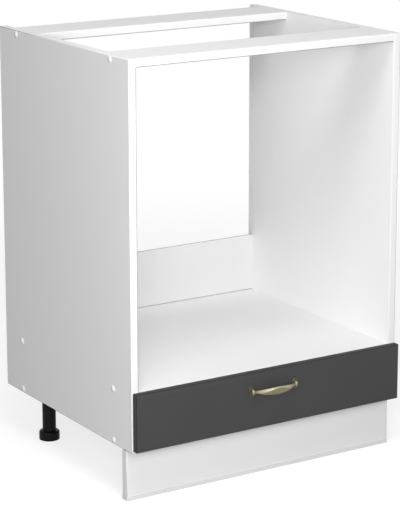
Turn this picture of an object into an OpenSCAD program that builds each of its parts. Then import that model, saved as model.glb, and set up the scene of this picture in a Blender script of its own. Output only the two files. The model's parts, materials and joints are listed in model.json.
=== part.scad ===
// Oven base cabinet: a floor cabinet that carries a built-in oven above one shallow drawer.
// Boards screwed edge to face, hardboard back in grooves, roller runners, adjustable legs, plinth.
// Origin: on the floor, at the middle of the overall width and depth. The front faces -Y.

/* [Carcass] */
// Outer width over the side panels
cabinet_w = 600; // [560:10:900]
// Height of the side panels
carcass_h = 728; // [722:1:760]
// Depth of the side panels
carcass_d = 495; // [495:5:600]
// Thickness of the carcass boards
board_t = 16; // [15:0.5:17]
// Clear height of the oven niche
niche_h = 597; // [585:1:599]
// Depth of each flat top rail
rail_d = 100; // [90:5:130]
// Distance from the rear top rail to the rear edge of the sides
rear_rail_inset = 35; // [20:5:50]
// Distance from the floor to the underside of the carcass
floor_gap = 98; // [96:1:120]

/* [Back panel] */
// Thickness of the hardboard panels
hardboard_t = 3; // [2.5:0.5:4]
// Spare width of the grooves behind the hardboard
groove_play = 1; // [0.2:0.1:1.5]
// Depth of the grooves in the side panels
groove_depth = 8; // [5:0.5:10]
// Gap between the back panel's edge and the bottom of its groove
groove_end_gap = 0.3; // [0.1:0.1:1]
// Thickness of the board left behind each groove
groove_lip = 11; // [8:1:15]
// Height of the back panel above the oven shelf
back_above_shelf = 121; // [40:1:200]
// Nails along each board that the back panel is nailed to
back_nails_per_row = 4; // [2:1:6]

/* [Assembly screws] */
// Distance of the front screws from the front edge
screw_from_front = 65; // [64:1:86]
// Distance of the rear screws from the rear edge
screw_from_rear = 70; // [40:1:71]
// Diameter of the assembly screws
screw_d = 6.4; // [5:0.1:7]
// Length of the assembly screws
screw_l = 50; // [40:1:60]
// Head diameter of the assembly screws
screw_head_d = 10; // [9:0.5:12]
// Width across the corners of the hexagon socket
socket_d = 4.6; // [4:0.1:5]
// Depth of the hexagon socket
socket_depth = 3; // [2.5:0.5:4]
// Diameter of the screw caps
cap_d = 13.5; // [12:0.5:16]
// Height of the screw caps above the side panel
cap_h = 2.4; // [1:0.1:3]
// Length of the stub that holds a cap in its screw
cap_stub_l = 2; // [1:0.1:2.5]
// Clearance round a screw or nail in its hole
hole_gap = 0.05; // [0.02:0.01:0.1]

/* [Runners] */
// Length of the roller runners
runner_l = 450; // [400:10:460]
// Gap between the drawer side and the cabinet side
runner_gap = 12.5; // [12.5:0.5:14]
// Thickness of the runner's steel
steel_t = 1.2; // [1:0.1:1.5]
// Distance of the cabinet runner from the front edge of the sides
runner_inset = 2; // [1:0.5:5]
// Height of the cabinet runner above the bottom panel
track_lift = 3.5; // [2:0.5:5]
// Height of the drawer runner's foot above the cabinet runner's underside
foot_lift = 2; // [1.5:0.5:4]
// Room above the drawer runner's flange, under the cabinet runner's lip
lip_gap = 2; // [1:0.5:4]
// Width of the drawer runner's foot under the drawer
runner_foot_w = 12; // [8:1:15]
// Gap between a runner's flange and the other runner's web
flange_gap = 0.8; // [0.5:0.1:1.2]
// Width of the lip at the top of the cabinet runner
lip_w = 9; // [5:0.5:9]
// Diameter of the rollers
roller_d = 20; // [16:1:22]
// Width of the rollers
roller_w = 7; // [5:0.5:7]
// Distance of each roller's centre from the end of its runner
roller_end = 17; // [14:1:25]
// Gap between a roller and the flanges that it runs on
roll_gap = 0.2; // [0.1:0.05:0.4]
// Diameter of the roller axles
axle_d = 5; // [4:0.5:6]
// Head diameter of the roller axles
axle_head_d = 8; // [7:0.5:10]
// Thickness of the roller axles' heads
axle_head_t = 0.8; // [0.5:0.1:0.8]
// Side play of a roller on its axle
roller_play = 0.2; // [0.1:0.05:0.3]
// Thickness of the collar between a roller and its runner
axle_collar_t = 0.7; // [0.4:0.1:0.9]
// Radial clearance of a roller on its axle
axle_gap = 0.05; // [0.02:0.01:0.1]
// How far the drawer pulls out
travel = 345; // [250:5:345]
// Height of the stops in the cabinet runner
stop_h = 3; // [2:0.5:5]
// Thickness of the stops in the cabinet runner
stop_t = 1.5; // [1:0.1:2]
// Gap between a roller and its stop at the end of the travel
stop_gap = 0.3; // [0.1:0.1:1]
// Width of the rollers' broken edges
roller_edge = 0.8; // [0.5:0.1:1]
// Screws in each runner
runner_screws = 3; // [2:1:4]
// Distance of the outer runner screws from the runner's ends
runner_screw_end = 67.5; // [50:2.5:80]

/* [Drawer box] */
// Distance between the carcass's front edge and the drawer front
front_gap = 2; // [1:0.5:4]
// Clear height above the drawer sides, for lifting the drawer out
drawer_top_gap = 13.3; // [8:0.1:20]
// Height of the drawer box's lower screws above the boards' lower edge
box_screw_low = 12; // [10:1:16]
// Depth of the drawer box's upper screws below the boards' upper edge
box_screw_high = 12; // [10:1:16]
// Distance of the drawer front's screws from the outer faces of the drawer sides
front_screw_in = 70; // [65:5:90]
// Nails under each drawer side
side_nails = 4; // [3:1:6]
// Nails under each of the box's front and back
end_nails = 3; // [2:1:3]

/* [Drawer front] */
// Part of the carcass that the drawer front leaves bare on each side
front_reveal = 2; // [0.5:0.5:5]
// Height of the drawer front's lower edge above the carcass's underside
front_rise = 5; // [2:1:8]
// Height of the drawer front's upper edge above the oven shelf
front_over = 1; // [0:0.5:3]
// Thickness of the drawer front at its raised field
front_t = 16; // [16:1:22]
// Height of the raised field above the border
field_h = 1.5; // [1:0.5:4]
// Width of the plain border round the drawer front
border_w = 7; // [4:1:20]
// Width of the bevel between the border and the field
bevel_w = 3; // [2:0.5:6]
// Width of the broken outer edge
edge_break = 1.5; // [0.5:0.5:3]

/* [Handle] */
// Distance between the handle's screw centres
handle_cc = 96; // [64:1:160]
// Distance of the handle's centre below the drawer front's upper edge
handle_drop = 36; // [34:1:40]
// Reach of the handle in front of the drawer front
handle_out = 22; // [20:1:40]
// Reach of the grip at its two ends
grip_end_out = 10; // [9:1:12]
// Thickness of the grip
grip_t = 4; // [3:0.5:6]
// Height of the grip at its middle
grip_h = 16; // [10:1:20]
// Height of the grip's necks
neck_h = 4.5; // [3:0.5:6]
// Distance between the tips of the grip's leaf shape, beyond the screw centres
leaf_over = 2; // [0:0.5:6]
// Diameter of the handle's posts
post_d = 8; // [7:0.5:10]
// Width of the posts' broken edges, under the grip
post_edge = 1.6; // [1:0.1:2.5]
// Depth of the posts' ends below the grip's outer face
post_sink = 0.8; // [0.5:0.1:1.5]
// Width of the rosettes
rosette_w = 14.5; // [12:0.5:20]
// Height of the rosettes
rosette_h = 22; // [16:1:24]
// Thickness of the rosettes at their middle
rosette_t = 4; // [3:0.5:6]
// Thickness of the rosettes at their rim
rosette_rim_t = 1.5; // [1:0.5:2.5]
// Distance of the rosettes' middle outside the screw centres
rosette_shift = 1.5; // [0:0.5:3]
// Diameter of the handle screws
handle_screw_d = 4; // [3:0.5:5]
// Length of the handle screws inside the handle
handle_screw_grip = 7; // [5:0.5:8]

/* [Small screws and nails] */
// Diameter of the wood screws for runners, legs and clips
wood_screw_d = 3.5; // [3:0.5:4]
// Length of the wood screws for runners and clips
short_screw_l = 13; // [10:1:14]
// Length of the screws that hold the drawer front
front_screw_l = 28; // [24:1:30]
// Board left above the tips of the leg screws
leg_screw_cover = 3; // [2:0.5:6]
// Head diameter of the small screws
small_head_d = 7; // [6.5:0.5:8]
// Head height of the small pan-head screws
small_head_h = 2.2; // [1.5:0.1:3]
// Diameter of the flat top of the pan heads
pan_top_d = 5; // [4:0.5:5.5]
// Length of the arms of the cross recesses
cross_l = 3.8; // [3:0.2:3.8]
// Width of the arms of the cross recesses
cross_w = 1; // [0.8:0.1:1.2]
// Depth of the cross recesses
cross_depth = 1.2; // [1:0.1:1.3]
// Diameter of the nails
nail_d = 1.6; // [1.2:0.1:2]
// Length of the nails under the head
nail_l = 22; // [16:1:25]
// Head diameter of the nails
nail_head_d = 3.4; // [3:0.1:4]
// Thickness of the nail heads
nail_head_t = 0.8; // [0.5:0.1:1]

/* [Legs] */
// Distance of the leg axes from the outer faces of the sides
leg_from_side = 45; // [40:1:80]
// Distance of the front leg axes from the carcass's front edge
leg_from_front = 70; // [68:1:76]
// Distance of the rear leg axes from the carcass's rear edge
leg_from_rear = 92; // [91:1:120]
// Width of the square flange of a leg socket
flange_w = 52; // [48:1:60]
// Corner radius of the flange
flange_r = 8; // [4:1:12]
// Thickness of the flange
flange_t = 3; // [2:0.5:5]
// Distance between the flange's screws
flange_pitch = 32; // [30:1:33]
// Height of the socket that takes the column
socket_h = 14; // [10:1:20]
// Wall thickness of the socket and of the column
leg_wall = 3; // [2:0.5:4]
// Outer diameter of the column
column_d = 27; // [24:1:32]
// Clearance round the column in its socket and in its clip
column_gap = 0.05; // [0.02:0.01:0.1]
// Diameter of the foot
foot_d = 41; // [36:1:50]
// Height of the foot
foot_h = 18; // [16:1:24]
// Height of the foot's rounded shoulder
shoulder_h = 4; // [2:0.5:6]
// Diameter of the foot's threaded stem
stem_d = 16; // [12:1:18]
// Length of the foot's threaded stem
stem_l = 45; // [40:1:50]
// Length of the column's threaded bore
nut_l = 20; // [15:1:25]
// Radial clearance of the stem in the column's threaded bore
stem_gap = 0.08; // [0.05:0.01:0.1]
// Gap between the column and the foot when it is screwed right in
foot_gap = 0.3; // [0.1:0.1:1]

/* [Plinth] */
// Setback of the plinth's face from the carcass's front edge
plinth_setback = 19; // [10:1:24]
// Gap between the plinth board and the carcass
plinth_top_gap = 1; // [0.5:0.5:3]
// Gap between the plinth seal and the floor
seal_floor_gap = 0.5; // [0.2:0.1:2]
// Height of the plinth seal
seal_h = 8.5; // [6:0.5:14]
// Wall thickness of the plinth seal
seal_t = 0.8; // [0.5:0.1:1.5]
// Height of the plinth clips above the floor, at their middle
clip_z = 56; // [44:1:60]
// Height of the plinth clips
clip_h = 16; // [10:1:24]
// Wall thickness of the plinth clips
clip_t = 2.6; // [2:0.1:4]
// Angle of the opening in each clip
clip_mouth = 110; // [80:5:140]
// Width of each clip's neck, between its ring and its plate
clip_neck_w = 12; // [8:1:18]
// Width of the plate of each clip
clip_plate_w = 40; // [34:1:50]
// Distance of each clip's screws from the ends of its plate
clip_screw_end = 6; // [5:0.5:6.5]

/* [Hidden] */
$fn = 48;

left = -1;
right = 1;
front = -1;
rear = 1;
sides = [left, right];

// How far a cutter runs past the face that it opens
cut_over = 1;
// How far two cutters in a row overlap
cut_lap = 0.1;
// Number of segments of the grip's large circles
large_fn = 180;

// Carcass, from the front edge backwards and from the floor up
inner_w = cabinet_w - 2 * board_t;
front_reach = front_gap + front_t + handle_out;
front_y = -(carcass_d - front_reach) / 2;
rear_y = front_y + carcass_d;
groove_w = hardboard_t + groove_play;
back_y = rear_y - groove_lip - groove_w;
carcass_z = floor_gap;
top_z = carcass_z + carcass_h;
rail_z = top_z - board_t;
shelf_top_z = rail_z - niche_h;
shelf_z = shelf_top_z - board_t;
bay_z = carcass_z + board_t;
board_heights = [carcass_z, shelf_z, rail_z];
screw_ys = [front_y + screw_from_front, rear_y - screw_from_rear];

// Runners: heights of the track, of the rollers' axis and of the flanges
track_y = front_y + runner_inset;
track_z = bay_z + track_lift;
roller_z = track_z + steel_t + roll_gap + roller_d / 2;
flange_z = roller_z + roller_d / 2 + roll_gap;
lip_z = flange_z + steel_t + lip_gap;
runner_foot_z = track_z + foot_lift;
drawer_w = inner_w - 2 * runner_gap;
cabinet_roller_y = track_y + roller_end;
drawer_y = front_y - front_gap;
drawer_roller_y = drawer_y + runner_l - roller_end;
// Distance between a roller's centre and a stop that it meets, along the track
stop_reach = sqrt(pow(roller_d / 2, 2) - pow(roller_d / 2 + roll_gap - stop_h, 2)) + stop_gap;
runner_screw_pitch = (runner_l - 2 * runner_screw_end) / (runner_screws - 1);
runner_screw_ys = [for (i = [0:runner_screws - 1]) runner_screw_end + i * runner_screw_pitch];
runner_screw_z = (track_z + lip_z) / 2;

// Drawer box, from its underside up
drawer_floor_z = runner_foot_z + steel_t;
box_z = drawer_floor_z + hardboard_t;
box_h = shelf_z - drawer_top_gap - box_z;
drawer_screw_z = (box_z + flange_z) / 2;
box_screw_zs = [box_z + box_screw_low, box_z + box_h - box_screw_high];

// Drawer front and handle
front_w = cabinet_w - 2 * front_reveal;
front_z = carcass_z + front_rise;
front_h = shelf_top_z + front_over - front_z;
face_y = drawer_y - front_t;
handle_z = front_z + front_h - handle_drop;
handle_screw_l = front_t + board_t + handle_screw_grip;
front_screw_xs = [for (side = sides) side * (drawer_w / 2 - front_screw_in)];
front_screw_head_y = drawer_y + board_t;

// Legs: socket, column and foot share one axis
leg_x = cabinet_w / 2 - leg_from_side;
leg_front_y = front_y + leg_from_front;
leg_rear_y = rear_y - leg_from_rear;
column_z = foot_h + foot_gap;
column_top_z = carcass_z - flange_t;
leg_screw_l = flange_t + board_t - leg_screw_cover;

// Plinth, behind the carcass's front edge
plinth_y = front_y + plinth_setback;
plinth_rear_y = plinth_y + board_t;
seal_z = seal_floor_gap;
plinth_z = seal_z + seal_t;
clip_screw_pitch = clip_plate_w - 2 * clip_screw_end;

function leg_y(end) = end == front ? leg_front_y : leg_rear_y;

// Places spread evenly over a length, counted from its middle
function spread(count, length) = [for (i = [0:count - 1]) length * ((i + 0.5) / count - 0.5)];

// What follows is drawn for the right-hand side
module on_side(side) {
    mirror([side == left ? 1 : 0, 0, 0]) children();
}

// Extrudes a section, drawn as X and Z, backwards along Y
module along_y(y, length) {
    translate([0, y + length, 0]) rotate([90, 0, 0]) linear_extrude(length) children();
}

// Extrudes a section, drawn as Y and Z, along X over the middle of the cabinet
module along_x(length) {
    translate([-length / 2, 0, 0]) rotate([90, 0, 90]) linear_extrude(length) children();
}

// A board given by its lowest corner and its size, centred across the width
module centred_board(width, y, depth, z, height) {
    translate([-width / 2, y, z]) cube([width, depth, height]);
}

// Solid of a countersunk screw that points down from its flat head; grow widens it into its hole
module countersunk_body(d, length, head_d, grow = 0) {
    cone_h = (head_d - d) / 2;
    translate([0, 0, -length - grow]) cylinder(d = d + 2 * grow, h = length + grow - cone_h / 2);
    translate([0, 0, -cone_h]) cylinder(d1 = d + 2 * grow, d2 = head_d + 2 * grow, h = cone_h);
    if (grow > 0) translate([0, 0, -cut_lap]) cylinder(d = head_d + 2 * grow, h = cut_over);
}

// Solid of an assembly screw, with a hexagon socket in its flat head
module assembly_screw() {
    difference() {
        countersunk_body(screw_d, screw_l, screw_head_d);
        translate([0, 0, -socket_depth]) cylinder(d = socket_d, h = socket_depth + cut_over, $fn = 6);
    }
}

// Solid of a pan-head screw that points down, with its head above the origin
module pan_screw(d, length) {
    difference() {
        union() {
            translate([0, 0, -length]) cylinder(d = d, h = length + small_head_h / 2);
            cylinder(d1 = small_head_d, d2 = pan_top_d, h = small_head_h);
        }
        translate([0, 0, small_head_h]) cross_recess();
    }
}

// Cutter for the cross in a small screw's head
module cross_recess() {
    for (turn = [0, 90]) {
        rotate([0, 0, turn]) translate([-cross_l / 2, -cross_w / 2, -cross_depth])
            cube([cross_l, cross_w, cross_depth + cut_over]);
    }
}

// Cutter for a plain screw hole that points down from the origin
module pilot_hole(d, length) {
    translate([0, 0, -length - hole_gap]) cylinder(d = d + 2 * hole_gap, h = length + hole_gap + cut_over);
}

// Solid of a nail that points down, with its head flush below the origin; grow widens it into its hole
module nail_body(grow = 0) {
    tip_z = -nail_head_t - nail_l - grow;
    head_rise = grow > 0 ? cut_over : 0;
    translate([0, 0, tip_z]) cylinder(d = nail_d + 2 * grow, h = -nail_head_t / 2 - tip_z);
    translate([0, 0, -nail_head_t]) cylinder(d = nail_head_d + 2 * grow, h = nail_head_t + head_rise);
}

// The places of the carcass screws: on the outer faces, pointing inwards
module at_carcass_screws(side, heights = board_heights) {
    for (y = screw_ys, z = heights) {
        translate([side * cabinet_w / 2, y, z + board_t / 2]) rotate([0, side * 90, 0]) children();
    }
}

// The places of the screws that hold a cabinet runner, pointing outwards into the side panel
module at_cabinet_runner_screws() {
    for (y = runner_screw_ys) {
        translate([inner_w / 2 - steel_t, track_y + y, runner_screw_z]) rotate([0, -90, 0]) children();
    }
}

// The places of the screws that hold a drawer runner, pointing inwards into the drawer side
module at_drawer_runner_screws() {
    for (y = runner_screw_ys) {
        translate([drawer_w / 2 + steel_t, drawer_y + y, drawer_screw_z]) rotate([0, 90, 0]) children();
    }
}

// The places of the drawer box's screws on the outer face of the right-hand side, pointing inwards
module at_box_screws() {
    for (y = [board_t / 2, runner_l - board_t / 2], z = box_screw_zs) {
        translate([drawer_w / 2, drawer_y + y, z]) rotate([0, 90, 0]) children();
    }
}

// The places of the nails under the drawer bottom, pointing up
module at_bottom_nails() {
    side_x = (drawer_w - board_t) / 2;
    end_y = (runner_l - board_t) / 2;
    under_sides = [for (side = sides, y = spread(side_nails, runner_l)) [side * side_x, y]];
    under_ends = [for (end = [front, rear], x = spread(end_nails, drawer_w)) [x, end * end_y]];
    translate([0, drawer_y + runner_l / 2, 0]) for (place = concat(under_sides, under_ends)) {
        translate([place.x, place.y, drawer_floor_z]) mirror([0, 0, 1]) children();
    }
}

// The places of the back panel's nails, pointing forwards into the two boards' rear edges
module at_back_nails() {
    for (x = spread(back_nails_per_row, inner_w), z = [carcass_z, shelf_z]) {
        translate([x, back_y + hardboard_t, z + board_t / 2]) rotate([-90, 0, 0]) children();
    }
}

// The places of the drawer front's screws on the box front's inner face, pointing forwards
module at_front_screws() {
    for (x = front_screw_xs, z = box_screw_zs) {
        translate([x, front_screw_head_y, z]) rotate([-90, 0, 0]) children();
    }
}

// The places of the handle's screws on the box front's inner face, pointing forwards
module at_handle_screws() {
    for (side = sides) {
        translate([side * handle_cc / 2, front_screw_head_y, handle_z]) rotate([-90, 0, 0]) children();
    }
}

// The four leg axes, on the floor
module at_legs() {
    for (side = sides, end = [front, rear]) {
        translate([side * leg_x, leg_y(end), 0]) children();
    }
}

// The screws of one leg's flange, pointing up into the bottom panel
module at_flange_screws() {
    for (x = [-1, 1], y = [-1, 1]) {
        translate([x * flange_pitch / 2, y * flange_pitch / 2, column_top_z]) mirror([0, 0, 1]) children();
    }
}

// The screws of one plinth clip, pointing forwards into the plinth board
module at_clip_screws() {
    for (x = [-1, 1]) {
        translate([leg_x + x * clip_screw_pitch / 2, plinth_rear_y + clip_t, clip_z])
            rotate([-90, 0, 0]) children();
    }
}

module side_panel(side) {
    color("white") on_side(side) difference() {
        translate([inner_w / 2, front_y, carcass_z]) cube([board_t, carcass_d, carcass_h]);
        translate([inner_w / 2 - cut_over, back_y, carcass_z - cut_over])
            cube([groove_depth + cut_over, groove_w, carcass_h + 2 * cut_over]);
        at_carcass_screws(right) countersunk_body(screw_d, screw_l, screw_head_d, hole_gap);
        at_cabinet_runner_screws() countersunk_body(wood_screw_d, short_screw_l, small_head_d, hole_gap);
    }
}

module bottom_panel() {
    color("white") difference() {
        centred_board(inner_w, front_y, back_y - front_y, carcass_z, board_t);
        for (side = sides) at_carcass_screws(side, [carcass_z]) pilot_hole(screw_d, screw_l);
        at_back_nails() nail_body(hole_gap);
        at_legs() at_flange_screws() pilot_hole(wood_screw_d, leg_screw_l);
    }
}

module oven_shelf() {
    color("white") difference() {
        centred_board(inner_w, front_y, back_y - front_y, shelf_z, board_t);
        for (side = sides) at_carcass_screws(side, [shelf_z]) pilot_hole(screw_d, screw_l);
        at_back_nails() nail_body(hole_gap);
    }
}

module top_rail(y) {
    color("white") difference() {
        centred_board(inner_w, y, rail_d, rail_z, board_t);
        for (side = sides) at_carcass_screws(side, [rail_z]) pilot_hole(screw_d, screw_l);
    }
}

module back_panel() {
    back_w = inner_w + 2 * (groove_depth - groove_end_gap);
    color("white") difference() {
        centred_board(back_w, back_y, hardboard_t, carcass_z, shelf_top_z + back_above_shelf - carcass_z);
        at_back_nails() nail_body(hole_gap);
    }
}

module back_panel_nails() {
    color("silver") at_back_nails() nail_body();
}

module carcass_screws() {
    color("silver") for (side = sides) at_carcass_screws(side) assembly_screw();
}

// Domed covers of the carcass screws, each with a stub that sits in the screw's socket
module screw_caps() {
    dome_r = (pow(cap_d / 2, 2) + pow(cap_h, 2)) / (2 * cap_h);
    dome_angle = asin(cap_d / 2 / dome_r);
    stub_r = socket_d / 2 * cos(30) - hole_gap;
    dome_steps = 6;
    dome = [for (i = [0:dome_steps])
        let (a = dome_angle * i / dome_steps)
        [dome_r * sin(a), cap_h - dome_r + dome_r * cos(a)]];
    stub = [[stub_r, 0], [stub_r, -cap_stub_l], [0, -cap_stub_l]];
    color("white") for (side = sides) at_carcass_screws(side) {
        rotate_extrude() polygon(concat(dome, stub));
    }
}

// Channel that carries the drawer's rear roller, with a stop at each end of the travel
module cabinet_runner(side) {
    web_x = inner_w / 2 - steel_t;
    flange_x = drawer_w / 2 + steel_t + flange_gap;
    front_stop_y = drawer_roller_y - travel - stop_reach - stop_t;
    rear_stop_y = drawer_roller_y + stop_reach;
    color("gainsboro") on_side(side) difference() {
        union() {
            along_y(track_y, runner_l) {
                translate([web_x, track_z]) square([steel_t, lip_z + steel_t - track_z]);
                translate([flange_x, track_z]) square([inner_w / 2 - flange_x, steel_t]);
                translate([inner_w / 2 - lip_w, lip_z]) square([lip_w, steel_t]);
            }
            for (y = [front_stop_y, rear_stop_y]) {
                translate([flange_x, y, track_z]) cube([web_x - flange_x, stop_t, steel_t + stop_h]);
            }
        }
        at_cabinet_runner_screws() countersunk_body(wood_screw_d, short_screw_l, small_head_d, hole_gap);
        translate([inner_w / 2, cabinet_roller_y, roller_z]) rotate([0, -90, 0]) roller_axle(hole_gap);
    }
}

// Rivet that a roller turns on, standing up from the back of its runner; grow makes the hole for it
module roller_axle(grow = 0) {
    roller_seat = steel_t + axle_collar_t + roller_play / 2;
    head_z = roller_seat + roller_w + roller_play / 2;
    if (grow > 0) {
        translate([0, 0, -cut_over]) cylinder(d = axle_d + 2 * grow, h = steel_t + 2 * cut_over);
    } else {
        cylinder(d = axle_d, h = head_z + axle_head_t);
        translate([0, 0, steel_t]) cylinder(d = axle_head_d, h = axle_collar_t);
        translate([0, 0, head_z]) cylinder(d = axle_head_d, h = axle_head_t);
    }
}

// Plastic wheel with broken edges, standing on the same axle
module roller() {
    r = roller_d / 2;
    bore_r = axle_d / 2 + axle_gap;
    translate([0, 0, steel_t + axle_collar_t + roller_play / 2]) rotate_extrude() polygon([
        [bore_r, 0],
        [r - roller_edge, 0],
        [r, roller_edge],
        [r, roller_w - roller_edge],
        [r - roller_edge, roller_w],
        [bore_r, roller_w],
    ]);
}

module cabinet_roller_axles() {
    color("silver") for (side = sides) on_side(side) {
        translate([inner_w / 2, cabinet_roller_y, roller_z]) rotate([0, -90, 0]) roller_axle();
    }
}

module cabinet_roller(side) {
    color("white") on_side(side) {
        translate([inner_w / 2, cabinet_roller_y, roller_z]) rotate([0, -90, 0]) roller();
    }
}

module cabinet_runner_screws() {
    color("silver") for (side = sides) on_side(side) at_cabinet_runner_screws() flat_wood_screw();
}

// Small countersunk screw with a cross recess
module flat_wood_screw() {
    difference() {
        countersunk_body(wood_screw_d, short_screw_l, small_head_d);
        cross_recess();
    }
}

// Angle under the drawer side, with an outer flange that rides on the cabinet's roller
module drawer_runner(side) {
    outer_x = inner_w / 2 - steel_t - flange_gap;
    color("gainsboro") on_side(side) difference() {
        along_y(drawer_y, runner_l) translate([drawer_w / 2, 0]) {
            translate([0, runner_foot_z]) square([steel_t, flange_z + steel_t - runner_foot_z]);
            translate([-runner_foot_w, runner_foot_z]) square([runner_foot_w + steel_t, steel_t]);
            translate([0, flange_z]) square([outer_x - drawer_w / 2, steel_t]);
        }
        at_drawer_runner_screws() countersunk_body(wood_screw_d, short_screw_l, small_head_d, hole_gap);
        translate([drawer_w / 2, drawer_roller_y, roller_z]) rotate([0, 90, 0]) roller_axle(hole_gap);
    }
}

module drawer_roller_axles() {
    color("silver") for (side = sides) on_side(side) {
        translate([drawer_w / 2, drawer_roller_y, roller_z]) rotate([0, 90, 0]) roller_axle();
    }
}

module drawer_roller(side) {
    color("white") on_side(side) {
        translate([drawer_w / 2, drawer_roller_y, roller_z]) rotate([0, 90, 0]) roller();
    }
}

module drawer_runner_screws() {
    color("silver") for (side = sides) on_side(side) at_drawer_runner_screws() flat_wood_screw();
}

module drawer_side(side) {
    color("white") on_side(side) difference() {
        translate([drawer_w / 2 - board_t, drawer_y, box_z]) cube([board_t, runner_l, box_h]);
        at_box_screws() countersunk_body(screw_d, screw_l, screw_head_d, hole_gap);
        at_drawer_runner_screws() countersunk_body(wood_screw_d, short_screw_l, small_head_d, hole_gap);
        at_bottom_nails() nail_body(hole_gap);
    }
}

// Front or back board of the drawer box, between its sides
module drawer_end_board(y) {
    difference() {
        centred_board(drawer_w - 2 * board_t, drawer_y + y, board_t, box_z, box_h);
        for (side = sides) on_side(side) at_box_screws() pilot_hole(screw_d, screw_l);
        at_bottom_nails() nail_body(hole_gap);
    }
}

module drawer_box_front() {
    color("white") difference() {
        drawer_end_board(0);
        at_front_screws() pilot_hole(wood_screw_d, front_screw_l);
        at_handle_screws() pilot_hole(handle_screw_d, handle_screw_l);
    }
}

module drawer_box_back() {
    color("white") drawer_end_board(runner_l - board_t);
}

module drawer_bottom() {
    color("white") difference() {
        centred_board(drawer_w, drawer_y, runner_l, drawer_floor_z, hardboard_t);
        at_bottom_nails() nail_body(hole_gap);
    }
}

module drawer_bottom_nails() {
    color("silver") at_bottom_nails() nail_body();
}

module drawer_box_screws() {
    color("silver") for (side = sides) on_side(side) at_box_screws() assembly_screw();
}

// Section across the drawer front: broken edge, border, bevel and raised field, on a base line
module front_section(length) {
    half = [
        [length / 2, 0],
        [length / 2, front_t - field_h - edge_break],
        [length / 2 - edge_break, front_t - field_h],
        [length / 2 - border_w, front_t - field_h],
        [length / 2 - border_w - bevel_w, front_t],
    ];
    other_half = [for (i = [len(half) - 1:-1:0]) [-half[i].x, half[i].y]];
    polygon(concat(half, other_half));
}

module drawer_front() {
    color("dimgray") difference() {
        translate([0, drawer_y, front_z + front_h / 2]) intersection() {
            translate([0, 0, -front_h / 2]) linear_extrude(front_h) mirror([0, 1]) front_section(front_w);
            along_x(front_w) rotate(90) front_section(front_h);
        }
        at_front_screws() pilot_hole(wood_screw_d, front_screw_l);
        at_handle_screws() pilot_hole(handle_screw_d, handle_screw_l);
    }
}

module drawer_front_screws() {
    color("silver") at_front_screws() pan_screw(wood_screw_d, front_screw_l);
}

// Leaf-shaped bow, drawn from the drawer front's face towards -Y, round its own centre
module grip() {
    rise = handle_out - grip_end_out;
    bow_r = (pow(handle_cc / 2, 2) + pow(rise, 2)) / (2 * rise);
    leaf_l = handle_cc + 2 * leaf_over;
    leaf_r = (pow(leaf_l / 2, 2) + pow(grip_h / 2, 2)) / grip_h;
    intersection() {
        translate([0, bow_r - handle_out, -grip_h / 2]) linear_extrude(grip_h) difference() {
            circle(r = bow_r, $fn = large_fn);
            circle(r = bow_r - grip_t, $fn = large_fn);
        }
        rotate([90, 0, 0]) linear_extrude(handle_out) union() {
            intersection() {
                translate([0, leaf_r - grip_h / 2]) circle(r = leaf_r, $fn = large_fn);
                translate([0, grip_h / 2 - leaf_r]) circle(r = leaf_r, $fn = large_fn);
            }
            square([handle_cc, neck_h], center = true);
        }
    }
}

// Domed foot of the handle, flattened at its two sides
module rosette() {
    dome = rosette_t - rosette_rim_t;
    dome_r = (pow(rosette_h / 2, 2) + pow(dome, 2)) / (2 * dome);
    intersection() {
        translate([0, 0, rosette_t - dome_r]) sphere(r = dome_r);
        cylinder(d = rosette_h, h = rosette_t);
        translate([-rosette_w / 2, -rosette_h / 2, 0]) cube([rosette_w, rosette_h, rosette_t]);
    }
}

// Post that joins a rosette to the grip, with a broken top edge
module handle_post() {
    shaft_h = grip_end_out - post_sink - post_edge;
    cylinder(d = post_d, h = shaft_h);
    translate([0, 0, shaft_h]) cylinder(d1 = post_d, d2 = post_d - 2 * post_edge, h = post_edge);
}

module handle() {
    color("darkkhaki") difference() {
        translate([0, face_y, handle_z]) {
            grip();
            for (side = sides) {
                translate([side * handle_cc / 2, 0, 0]) rotate([90, 0, 0]) handle_post();
                translate([side * (handle_cc / 2 + rosette_shift), 0, 0]) rotate([90, 0, 0]) rosette();
            }
        }
        at_handle_screws() pilot_hole(handle_screw_d, handle_screw_l);
    }
}

module handle_screws() {
    color("silver") at_handle_screws() pan_screw(handle_screw_d, handle_screw_l);
}

// Square flange with a short socket for the column, screwed under the bottom panel
module leg_socket(side, end) {
    rim_d = column_d + 2 * (column_gap + leg_wall);
    color("dimgray") translate([side * leg_x, leg_y(end), 0]) difference() {
        union() {
            translate([0, 0, column_top_z]) linear_extrude(flange_t) flange_outline();
            translate([0, 0, column_top_z - socket_h]) cylinder(d = rim_d, h = socket_h);
        }
        translate([0, 0, column_top_z - socket_h - cut_over])
            cylinder(d = column_d + 2 * column_gap, h = socket_h + cut_over);
        at_flange_screws() pilot_hole(wood_screw_d, leg_screw_l);
    }
}

// Square with rounded corners
module flange_outline() {
    straight = flange_w - 2 * flange_r;
    square([flange_w, straight], center = true);
    square([straight, flange_w], center = true);
    for (x = [-1, 1], y = [-1, 1]) {
        translate([x * straight / 2, y * straight / 2]) circle(r = flange_r);
    }
}

// Tube with a threaded bore at its lower end
module leg_column(side, end) {
    column_h = column_top_z - column_z;
    color("dimgray") translate([side * leg_x, leg_y(end), column_z]) difference() {
        cylinder(d = column_d, h = column_h);
        translate([0, 0, -cut_over]) cylinder(d = stem_d + 2 * stem_gap, h = nut_l + 2 * cut_over);
        translate([0, 0, nut_l]) cylinder(d = column_d - 2 * leg_wall, h = column_h);
    }
}

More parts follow.
